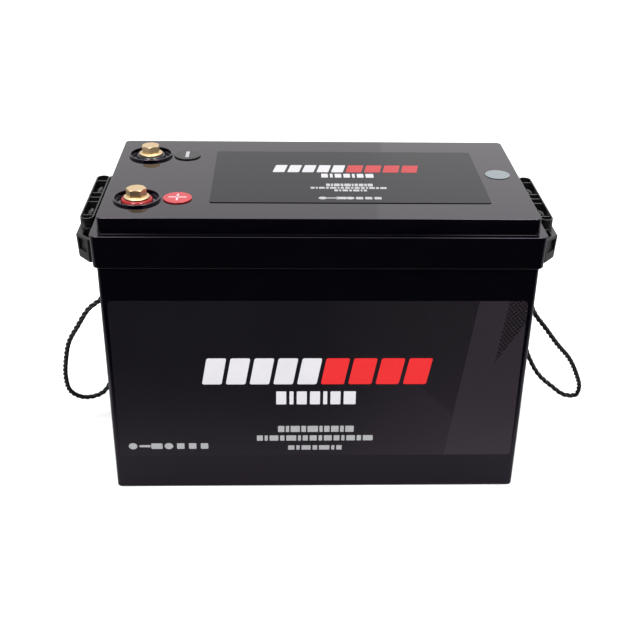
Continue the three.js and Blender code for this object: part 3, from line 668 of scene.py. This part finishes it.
def make_case():
    low, high = millimetres("case")

    def ring(inset, z, corner=CASE_CORNER):
        drawn = inset + WALL_DRAFT * (high.z - z)
        radius = max(corner - inset * 0.4, 0.8)
        return rounded_rectangle(high.x - drawn, high.y - drawn, radius, CORNER_STEPS, z)

    rim = RIM_EDGE
    levels = [ring(inset, z) for inset, z in round_levels(low.z, BASE_ROUND, 0, -1)]
    levels += [ring(0, z) for z in (60, 120, 180, high.z - rim)]
    levels += [ring(rim, high.z), ring(CASE_WALL - rim, high.z), ring(CASE_WALL, high.z - rim)]
    levels += [ring(CASE_WALL, CASE_FLOOR + 1), ring(CASE_WALL + 1, CASE_FLOOR)]
    bm = bmesh.new()
    loft(bm, levels)
    attach(mesh_piece("case_shell", bm, MAT["gloss_black_plastic"]), "gloss_black_plastic", "case")


def dish_profile(top):
    """[radius, z] pairs from the lid's top, over the raised rim and down to the sunk floor."""
    rim, floor = top + DISH_RIM, top - DISH_DEPTH
    return [
        (DISH_RADIUS, top),
        (DISH_RADIUS, rim - 0.55),
        *arc(DISH_RADIUS - 0.55, rim - 0.55, 0.55, 15, 90, 4),
        *arc(DISH_RADIUS - 1.0, rim - 0.5, 0.5, 90, 160, 3),
        (DISH_RADIUS - 1.75, floor + 0.15),
        (DISH_RADIUS - 1.95, floor),
        (BORE + 0.3, floor),
        (BORE, floor - 0.3),
    ]


def make_lid():
    low, high = millimetres("lid")
    top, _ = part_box("top_label")
    top_z = round(top.z / MM - LABEL_GAP, 3)
    half_x, half_y = high.x, high.y
    case_x, case_y = (v + CASE_CLEARANCE for v in millimetres("case")[1][:2])
    tier_x, tier_y = half_x - TIER_INSET, half_y - TIER_INSET

    def outer(inset, z):
        corner = SKIRT_CORNER - inset * 0.4
        return rounded_rectangle(half_x - inset, half_y - inset, corner, CORNER_STEPS, z)

    def tier(inset, z):
        corner = TIER_CORNER - inset * 0.4
        return rounded_rectangle(tier_x - inset, tier_y - inset, corner, CORNER_STEPS, z)

    def inner(x, y, z):
        return rounded_rectangle(x, y, TIER_CORNER, CORNER_STEPS, z)

    levels = [
        inner(tier_x - LID_WALL, tier_y - LID_WALL, ROOF),
        inner(tier_x - LID_WALL, tier_y - LID_WALL, SHOULDER),
        inner(case_x, case_y, SHOULDER),
        inner(case_x, case_y, low.z + 0.3),
    ]
    levels += [outer(inset, z) for inset, z in round_levels(low.z, SKIRT_ROUND, SKIRT_DRAFT, -1)]
    levels += [outer(inset, z) for inset, z in round_levels(LEDGE, LEDGE_ROUND, 0, 1)]
    levels += [tier(-0.5, LEDGE), tier(-0.12, LEDGE + 0.12), tier(0, LEDGE + 0.5)]
    levels += [tier(inset, z) for inset, z in round_levels(top_z, TIER_ROUND, 0, 1)]
    bm = bmesh.new()
    rings = loft(bm, levels, caps=(False, False))
    terminals = [centre_of(f"{pole}_bolt") / MM for pole in ("positive", "negative")]
    roof_edges = list(loop_edges(bm, rings[0]))
    top_edges = list(loop_edges(bm, rings[-1]))
    for at in terminals:
        dish = turned(bm, dish_profile(top_z), at.x, at.y, DISH_SEGMENTS, (False, False))
        under = add_ring(bm, circle(at.x, at.y, ROOF, BORE, DISH_SEGMENTS))
        bridge(bm, dish[-1], under)
        top_edges += loop_edges(bm, dish[0])
        roof_edges += loop_edges(bm, under)
    for edges in (top_edges, roof_edges):
        bmesh.ops.triangle_fill(bm, use_beauty=True, use_dissolve=False, edges=edges)
    attach(mesh_piece("lid_shell", bm, MAT["gloss_black_plastic"]), "gloss_black_plastic", "lid")


def loop_edges(bm, ring):
    """The edges round a ring of vertices, made where they don't exist yet."""
    for a, b in zip(ring, ring[1:] + ring[:1]):
        yield bm.edges.get((a, b)) or bm.edges.new((a, b))


make_case()
make_lid()


# --- Terminals -------------------------------------------------------------------------

THREAD_PITCH = 1.5
THREAD_MINOR = 4.2
THREAD_DEPTH = 0.7
THREAD_STEP = 0.25
INSERT_HEAD = 9.5
INSERT_SHANK = 7.5
INSERT_HOLE = 5.1
WASHER_INNER = 5.35
WASHER_OUTER = 8.95
# The bolt's head: its height over the seat, half its width across flats, its crown's radius
# and the slope from the crown down to the corners.
HEAD_HEIGHT = 7.4
HEAD_FLAT = 6.85
HEAD_CROWN = 6.7
CROWN_SLOPE = 0.45
CONE_TOP = 1.7
NECK = 4.6
HEAD_TURN = {"positive": 0.0, "negative": TURN / 12}


def make_terminal_ring(pole, material, slot):
    node = f"{pole}_terminal_ring"
    low, high = millimetres(node)
    at = (low + high) / 2
    inner = INSERT_HEAD + 0.3
    outer = (high.x - low.x) / 2
    profile = [
        (inner, low.z),
        (outer - 0.3, low.z),
        (outer, low.z + 0.3),
        *arc(outer - 2.4, low.z + 0.35, 2.4, 4, 88, 9),
        (inner + 0.2, high.z),
        (inner, high.z - 0.2),
    ]
    bm = bmesh.new()
    rings = turned(bm, profile, at.x, at.y, 96, (False, False))
    bridge(bm, rings[-1], rings[0])
    attach(mesh_piece(f"{node}_mesh", bm, MAT[material]), slot, node)


def make_insert(pole):
    node = f"{pole}_terminal_insert"
    low, high = millimetres(node)
    at = (low + high) / 2
    shank, hole = INSERT_SHANK, INSERT_HOLE
    profile = [
        (shank - 0.4, low.z),
        (shank, low.z + 0.4),
        (shank, high.z - 0.9),
        (INSERT_HEAD, high.z - 0.9),
        (INSERT_HEAD, high.z - 0.15),
        (INSERT_HEAD - 0.15, high.z),
        (hole + 0.5, high.z),
        (hole, high.z - 0.5),
        (hole, low.z + 2),
    ]
    bm = bmesh.new()
    turned(bm, profile, at.x, at.y, 64)
    attach(mesh_piece(f"{node}_mesh", bm, MAT["brass"]), "brass", node)


def make_spring_washer(pole):
    """A split ring of square section."""
    node = f"{pole}_spring_washer"
    low, high = millimetres(node)
    at = (low + high) / 2
    gap = math.radians(4)
    bm = bmesh.new()
    rings = []
    steps = 72
    for i in range(steps + 1):
        angle = gap + (TURN - 2 * gap) * i / steps
        across = Vector((math.cos(angle), math.sin(angle), 0))
        low_edge = ((WASHER_INNER, low.z), (WASHER_OUTER, low.z))
        corners = (*low_edge, (WASHER_OUTER, high.z), (WASHER_INNER, high.z))
        rings.append([
            Vector((at.x, at.y, 0)) + across * radius + Vector((0, 0, z)) for radius, z in corners
        ])
    loft(bm, rings)
    piece = mesh_piece(f"{node}_mesh", bm, MAT["spring_steel"])
    attach(piece, "spring_steel", node, body=f"{pole}_washer")


def make_bolt(pole):
    """A flange bolt: hexagon head with a turned crown, cone flange and threaded shank."""
    node = f"{pole}_bolt"
    low, high = millimetres(node)
    at = (low + high) / 2
    seat, flange = high.z - HEAD_HEIGHT, (high.x - low.x) / 2
    bm = bmesh.new()
    turned(
        bm,
        [
            (NECK, seat),
            (flange - 0.25, seat),
            (flange, seat + 0.25),
            *arc(flange - 0.4, seat + 0.5, 0.4, 0, 80, 4),
            (HEAD_FLAT + 1.2, seat + CONE_TOP - 0.15),
            (HEAD_FLAT + 0.2, seat + CONE_TOP),
            (NECK, seat + CONE_TOP),
        ],
        at.x,
        at.y,
        96,
    )
    sides = 96
    rings = [[], [], [], [], []]
    for i in range(sides):
        angle = TURN * i / sides
        # Before the head is turned its corners point along X, a twelfth of a turn from the flats.
        off = (angle - HEAD_TURN[pole] + TURN / 12) % (TURN / 6) - TURN / 12
        reach = HEAD_FLAT / math.cos(TURN / 12 - abs(off))
        across = Vector((math.cos(angle), math.sin(angle), 0))
        side_top = high.z - (reach - HEAD_CROWN) * CROWN_SLOPE
        levels = (
            (reach, seat + CONE_TOP - 0.4),
            (reach, side_top),
            (HEAD_CROWN + 0.1, high.z - 0.06),
            (HEAD_CROWN - 0.12, high.z),
            (HEAD_CROWN - 2.4, high.z - 0.12),
        )
        for ring, (radius, z) in zip(rings, levels):
            ring.append(Vector((at.x, at.y, z)) + across * radius)
    loft(bm, rings)
    threaded_shank(bm, at, low.z, seat + 0.4)
    piece = mesh_piece(f"{node}_mesh", bm, MAT["brass"], sharp=22)
    attach(piece, "brass", node, body=node)


def threaded_shank(bm, at, low, high):
    """The bolt's thread, which runs out over the last millimetre at its foot."""
    segments = 48
    count = int((high - low) / THREAD_STEP)
    rings = []
    for i in range(count + 1):
        z = low + (high - low) * i / count
        taper = min(1.0, (z - low) / 1.0)
        ring = []
        for k in range(segments):
            phase = (z / THREAD_PITCH - k / segments) % 1
            radius = THREAD_MINOR + THREAD_DEPTH * taper * (1 - abs(2 * phase - 1))
            angle = TURN * k / segments
            ring.append((at.x + radius * math.cos(angle), at.y + radius * math.sin(angle), z))
        rings.append(ring)
    loft(bm, rings)


for terminal_pole, ring_material in (("positive", "red_plastic"), ("negative", "black_plastic")):
    make_terminal_ring(terminal_pole, ring_material, ring_material)
    make_insert(terminal_pole)
    make_spring_washer(terminal_pole)
    make_bolt(terminal_pole)


# --- Polarity discs --------------------------------------------------------------------


def rounded_bar(bm, at, half_x, half_y, low, high, radius=0.25, steps=3):
    """A flat bar with round corners and a softened top edge."""
    rings = []
    for inset, z in ((0, low), (0, high - 0.08), (0.08, high)):
        points = rounded_rectangle(half_x - inset, half_y - inset, radius, steps, z)
        rings.append([(at.x + x, at.y + y, z) for x, y, z in points])
    loft(bm, rings)


def make_disc(node, disc_material, mark_material, slot, bars):
    low, high = millimetres(node)
    at = (low + high) / 2
    radius = (high.x - low.x) / 2
    plate = high.z - 0.4
    bm = bmesh.new()
    profile = [
        (radius - 0.15, low.z),
        (radius, low.z + 0.15),
        (radius, plate - 0.45),
        *arc(radius - 0.45, plate - 0.45, 0.45, 20, 90, 4),
        (radius - 2.5, plate),
    ]
    turned(bm, profile, at.x, at.y, 80)
    attach(mesh_piece(f"{node}_plate", bm, MAT[disc_material]), slot, node)
    bm = bmesh.new()
    for half_x, half_y in bars:
        rounded_bar(bm, at, half_x, half_y, plate - 0.1, high.z - 0.15)
    attach(mesh_piece(f"{node}_mark", bm, MAT[mark_material]), slot)


make_disc("plus_disc", "disc_red", "mark_pink", "red_plastic", ((7, 0.85), (0.85, 6.6)))
make_disc("minus_disc", "disc_grey", "mark_grey", "grey_plastic", ((1.5, 7.2),))


# --- Handle brackets -------------------------------------------------------------------

BRACKET_EDGE = 0.3
SHARP_EDGE = 28


def refined(node, name, finish):
    """A copy of a CAD node's mesh, its flat faces merged and its edges rounded."""
    bm = bmesh.new()
    bm.from_mesh(frame["nodes"][node].data)
    bmesh.ops.scale(bm, vec=(1 / MM,) * 3, verts=bm.verts)
    bmesh.ops.remove_doubles(bm, verts=bm.verts, dist=0.001)
    bmesh.ops.dissolve_limit(bm, angle_limit=math.radians(1), verts=bm.verts, edges=bm.edges)
    made = mesh_piece(name, bm, MAT[finish], weighted=False)
    bevel = made.modifiers.new("round_edges", "BEVEL")
    bevel.width = BRACKET_EDGE * MM
    bevel.segments = 2
    bevel.limit_method = "ANGLE"
    bevel.angle_limit = math.radians(SHARP_EDGE)
    bevel.harden_normals = True
    attach(made, finish, node)


for handle_side in ("left", "right"):
    refined(f"{handle_side}_handle_bracket", f"{handle_side}_bracket_mesh", "satin_black_plastic")


# --- Printed marks ---------------------------------------------------------------------

INK = 0.04
GAUGE_SLANT = 0.18


def print_piece(name, material, shapes, to_row):
    """Ink on a label: flat shapes, each a list of [u, v] points, laid on by to_row(u, v, lift)."""
    bm = bmesh.new()
    for points in shapes:
        loft(bm, [[to_row(u, v, lift) for u, v in points] for lift in (0.01, 0.01 + INK)])
    return attach(mesh_piece(name, bm, MAT[material], weighted=False), "label_film")


def on_front(u, v, lift):
    """A point u to the right of the front label's middle and v above its lower edge."""
    low, high = millimetres("front_label")
    z = low.z + v
    return Vector((u, low.y + WALL_DRAFT * (high.z - z) - lift, z))


def on_top(u, v, lift):
    """A point of the top label, from its middle, u to the right and v towards the back."""
    low, high = millimetres("top_label")
    return Vector(((low.x + high.x) / 2 + u, (low.y + high.y) / 2 + v, high.z + lift))


def bar_shape(u, v, half_u, half_v, radius=0.5, slant=0.0):
    points = rounded_rectangle(half_u, half_v, min(radius, half_u * 0.9, half_v * 0.9), 3, 0)
    return [(u + x + slant * y, v + y) for x, y, _ in points]


def dot_shape(u, v, half_u, half_v):
    return [(u + x * half_u, v + y * half_v) for x, y, _ in circle(0, 0, 0, 1, 20)]


def row_of_bars(start, end, v, half_v, widths, gap, radius=0.4):
    """Bars of uneven widths from start to end, like a line of small print seen from afar."""
    shapes, total = [], sum(widths) + gap * (len(widths) - 1)
    scale = (end - start) / total
    u = start
    for width in widths:
        shapes.append(bar_shape(u + width * scale / 2, v, width * scale / 2, half_v, radius))
        u += (width + gap) * scale
    return shapes


def charge_blocks(start, split, end, v, half_v, white, red):
    """A row of slanted blocks, like a charge gauge: white ones, then red ones."""
    rows = []
    gap, corner = half_v * 0.28, half_v * 0.12
    for first, last, count in ((start, split, white), (split, end, red)):
        pitch = (last - first) / count
        rows.append([
            bar_shape(first + pitch * (i + 0.5), v, pitch / 2 - gap / 2, half_v, corner, GAUGE_SLANT)
            for i in range(count)
        ])
    return rows


FINE_PRINT = (3, 1.6, 4.4, 2.2, 5, 1.5, 2.6, 3.6, 1.8, 4)


def print_label(prefix, to_row, layout, inks=""):
    """The generic marks of one label: gauge blocks, three lines of bars and a row of icons."""
    start, split, end, v, half = layout["gauge"]
    white, red = charge_blocks(start, split, end, v, half, 5, 4)
    start, end, v, half = layout["title"]
    white += row_of_bars(start, end, v, half, (5, 2, 5, 5, 2, 5, 6), 1.6, 0.5)
    start, end, v, half = layout["line_1"]
    grey = row_of_bars(start, end, v, half, FINE_PRINT, 0.7)
    start, end, v, half = layout["line_2"]
    grey += row_of_bars(start, end, v, half, FINE_PRINT + FINE_PRINT[:5], 0.9)
    start, end, v, half = layout["line_3"]
    grey += row_of_bars(start, end, v, half, FINE_PRINT[:7], 0.9)
    start, end, v, half = layout["icons"]
    pitch = (end - start) / 6
    for i in range(7):
        u = start + pitch * i
        if i in (0, 3):
            grey.append(dot_shape(u, v, half * 1.15, half))
        else:
            width = half * (1.5 if i in (1, 2) else 1.0)
            grey.append(bar_shape(u, v, width, half * (0.35 if i == 1 else 0.9), 0.6))
    print_piece(f"{prefix}_print_white", f"{inks}print_white", white, to_row)
    print_piece(f"{prefix}_print_red", f"{inks}print_red", red, to_row)
    print_piece(f"{prefix}_print_grey", "print_grey", grey, to_row)


print_label("front", on_front, {
    "gauge": (-92.5, 3, 91.5, 81.8, 12.1),
    "title": (-33.4, 31.2, 56.7, 6.2),
    "line_1": (-32, 30.5, 26.4, 3.0),
    "line_2": (-49.5, 46.6, 17.4, 2.6),
    "line_3": (-23.6, 21, 7.8, 2.2),
    "icons": (-152, -93, 9.7, 3.1),
})
print_label("top", on_top, {
    "gauge": (-61, -0.6, 60.7, 16.5, 8.5),
    "title": (-21.3, 21.6, 0.1, 4.4),
    "line_1": (-18, 19.5, -21.2, 3.0),
    "line_2": (-30.6, 30.1, -27.7, 2.0),
    "line_3": (-12, 14, -33.2, 2.0),
    "icons": (-21.7, 21.5, -49.7, 2.8),
}, inks="top_")

for label_node in ("front_label", "top_label"):
    frame["nodes"][label_node].data.materials.clear()
    frame["nodes"][label_node].data.materials.append(MAT[label_node])


# --- Pieces kept from the CAD model ------------------------------------------------------


def dress_cad_nodes():
    slots = {s["node"]: s["material_slot"] for s in frame["record"]["subparts"]}
    for name, node in frame["nodes"].items():
        if node.hide_render or name in ("front_label", "top_label"):
            continue
        node.data.materials.clear()
        node.data.materials.append(MAT[slots[name]])


dress_cad_nodes()


# --- Studio ----------------------------------------------------------------------------

FLOOR_REACH = 6.0
CARD_SIDE = 1.2
CARD_FRONT = -1.6
CARD_BACK = 1.0
CARD_LIFT = 0.001
CARD_TOP = 1.0
LIT_POINT = (0, 0, 0.15)
KEY_LIGHT = {"x": 0.55, "yz": (-0.75, 1.5), "size": (0.5, 0.3), "watts": 14}


def soft_box(name, at, aim, size, power):
    data = bpy.data.lights.new(name, "AREA")
    data.shape = "RECTANGLE"
    data.size, data.size_y = size
    data.energy = power
    light = link(name, data)
    light.location = at
    light.rotation_mode = "QUATERNION"
    light.rotation_quaternion = (Vector(aim) - Vector(at)).to_track_quat("-Z", "Y")
    light.visible_camera = False
    return light


def quad(name, corners, material):
    bm = bmesh.new()
    bm.faces.new([bm.verts.new(c) for c in corners])
    mesh = bpy.data.meshes.new(name)
    bm.to_mesh(mesh)
    bm.free()
    mesh.materials.append(material)
    return link(name, mesh)


def painted_reflection_card():
    """Black cloth in front of the battery, seen only in gloss: painted reflection, paling at its foot
    and on the floor beside the battery, where a lit floor would show.
    """
    n = Nodes("painted_reflection_card")
    x, y, _ = n.axes()
    before = n.span(n.math("POWER", n.span(y, -0.4, -0.13, 0.0, 1.0), 3.5), 0.0, 1.0, 0.0, 0.23)
    left = n.span(x, -0.5, -0.3, 0.12, 0.36)
    right = n.span(x, 0.3, 0.5, 0.28, 0.2)
    beside = n.span(x, -0.01, 0.01, left, right)
    clear = n.span(n.math("ABSOLUTE", x), 0.24, 0.3, 0.0, 1.0)
    near = n.span(y, -0.3, -0.15, 0.0, 1.0)
    # How pale the painted reflection is: paler near the battery's front foot and on the floor beside it.
    grey = n.math("MAXIMUM", before, n.math("MULTIPLY", near, n.math("MULTIPLY", clear, beside)))
    n.set(
        Base_Color=n.mix(grey, rgba(0.002, 0.002, 0.002), rgba(1.0, 0.97, 1.0)),
        Roughness=n.span(n.noise(400), 0.3, 0.7, 0.85, 1.0),
        Specular_IOR_Level=0.0,
    )
    return n.material


def gloss_card(name, corners):
    card = quad(name, corners, painted_reflection_card())
    card.visible_camera = False
    card.visible_diffuse = False
    card.visible_shadow = False
    card.visible_transmission = False


def make_studio():
    world = bpy.data.worlds.new("studio")
    bpy.context.scene.world = world
    world.use_nodes = True
    background = world.node_tree.nodes["Background"]
    background.inputs["Color"].default_value = rgba(1.0, 1.0, 1.0)
    background.inputs["Strength"].default_value = 0.95
    floor_material = plain("floor", (0.9, 0.9, 0.9), (0.92, 0.92, 0.92), (0.8, 0.9), depth=0.0)
    r = FLOOR_REACH
    quad("floor", ((-r, -r, 0), (r, -r, 0), (r, r, 0), (-r, r, 0)), floor_material)
    # Dark cards on the floor and in front of the battery, seen only in its gloss: painted reflection of
    # a dark studio, paler near the battery.
    left, right = (-CARD_SIDE, CARD_FRONT), (CARD_SIDE, CARD_FRONT)
    foot = ((*left, CARD_LIFT), (*right, CARD_LIFT))
    far = ((CARD_SIDE, CARD_BACK, CARD_LIFT), (-CARD_SIDE, CARD_BACK, CARD_LIFT))
    gloss_card("floor_card", (*foot, *far))
    gloss_card("front_card", (*foot, (*right, CARD_TOP), (*left, CARD_TOP)))
    for name, x in (("key_left", -KEY_LIGHT["x"]), ("key_right", KEY_LIGHT["x"])):
        soft_box(name, (x, *KEY_LIGHT["yz"]), LIT_POINT, KEY_LIGHT["size"], KEY_LIGHT["watts"])
    soft_box("overhead", (0, 0.3, 2.2), LIT_POINT, (2.0, 1.4), 30)
    # A weak panel behind, right of the middle: its edge shows as a faint seam in the lid.
    panel_x, panel_z = 1.64, 1.5
    panel = soft_box("back_right", (panel_x, 2.5, panel_z), (panel_x, 0, panel_z), (2.7, 2.8), 3.2)
    panel.visible_diffuse = False
    bpy.context.scene.view_settings.view_transform = "Standard"


make_studio()
